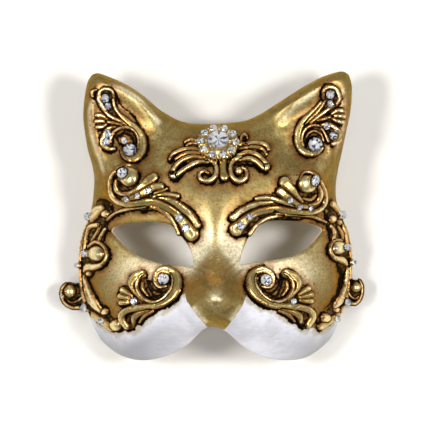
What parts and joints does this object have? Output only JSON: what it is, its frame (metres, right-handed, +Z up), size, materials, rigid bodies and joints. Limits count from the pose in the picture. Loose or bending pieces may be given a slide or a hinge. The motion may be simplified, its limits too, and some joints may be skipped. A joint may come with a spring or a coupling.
{
  "type": "venetian cat mask",
  "caption": "Papier-mache cat half mask with pointed ears, almond eye holes and a snouted nose, white below and gilded above, with antiqued gilt scrolls, clear rhinestones and a crystal brooch",
  "frame": {"origin": "on the table below the middle of the mask's overall box, as it lies face up on its rim", "axes": "+X across the face to the right as one looks at it, which is the wearer's left, +Y from the cheeks up to the ears, +Z up out of the face"},
  "size_m": [0.162, 0.1522, 0.0776],
  "materials": {
    "painted_papier_mache": "satin",
    "gilded_scrollwork": "gloss",
    "gilt_brass": "polished",
    "cut_crystal": "polished"
  },
  "bodies": {
    "root": {"brooch_centre_crystal": "cut_crystal", "brooch_crystal_1": "cut_crystal", "brooch_crystal_10": "cut_crystal", "brooch_crystal_2": "cut_crystal", "brooch_crystal_3": "cut_crystal", "brooch_crystal_4": "cut_crystal", "brooch_crystal_5": "cut_crystal", "brooch_crystal_6": "cut_crystal", "brooch_crystal_7": "cut_crystal", "brooch_crystal_8": "cut_crystal", "brooch_crystal_9": "cut_crystal", "brooch_setting": "gilt_brass", "forehead_plume": "gilded_scrollwork", "left_brow_rhinestone_1": "cut_crystal", "left_brow_rhinestone_2": "cut_crystal", "left_brow_rhinestone_3": "cut_crystal", "left_brow_rhinestone_4": "cut_crystal", "left_brow_rhinestone_5": "cut_crystal", "left_brow_rhinestone_6": "cut_crystal", "left_brow_scroll": "gilded_scrollwork", "left_cheek_rhinestone_1": "cut_crystal", "left_cheek_rhinestone_2": "cut_crystal", "left_cheek_scroll": "gilded_scrollwork", "left_ear_rhinestone_1": "cut_crystal", "left_ear_rhinestone_2": "cut_crystal", "left_ear_rhinestone_3": "cut_crystal", "left_ear_rhinestone_4": "cut_crystal", "left_ear_rhinestone_5": "cut_crystal", "left_ear_rhinestone_6": "cut_crystal", "left_ear_scroll": "gilded_scrollwork", "left_side_rhinestone_1": "cut_crystal", "left_side_rhinestone_2": "cut_crystal", "left_side_rhinestone_3": "cut_crystal", "left_side_rhinestone_4": "cut_crystal", "left_side_rhinestone_5": "cut_crystal", "left_side_scroll": "gilded_scrollwork", "papier_mache_shell": "painted_papier_mache", "right_brow_rhinestone_1": "cut_crystal", "right_brow_rhinestone_2": "cut_crystal", "right_brow_rhinestone_3": "cut_crystal", "right_brow_rhinestone_4": "cut_crystal", "right_brow_rhinestone_5": "cut_crystal", "right_brow_rhinestone_6": "cut_crystal", "right_brow_scroll": "gilded_scrollwork", "right_cheek_rhinestone_1": "cut_crystal", "right_cheek_rhinestone_2": "cut_crystal", "right_cheek_scroll": "gilded_scrollwork", "right_ear_rhinestone_1": "cut_crystal", "right_ear_rhinestone_2": "cut_crystal", "right_ear_rhinestone_3": "cut_crystal", "right_ear_rhinestone_4": "cut_crystal", "right_ear_rhinestone_5": "cut_crystal", "right_ear_scroll": "gilded_scrollwork", "right_side_rhinestone_1": "cut_crystal", "right_side_rhinestone_2": "cut_crystal", "right_side_rhinestone_3": "cut_crystal", "right_side_rhinestone_4": "cut_crystal", "right_side_rhinestone_5": "cut_crystal", "right_side_scroll": "gilded_scrollwork"}
  },
  "joints": []
}
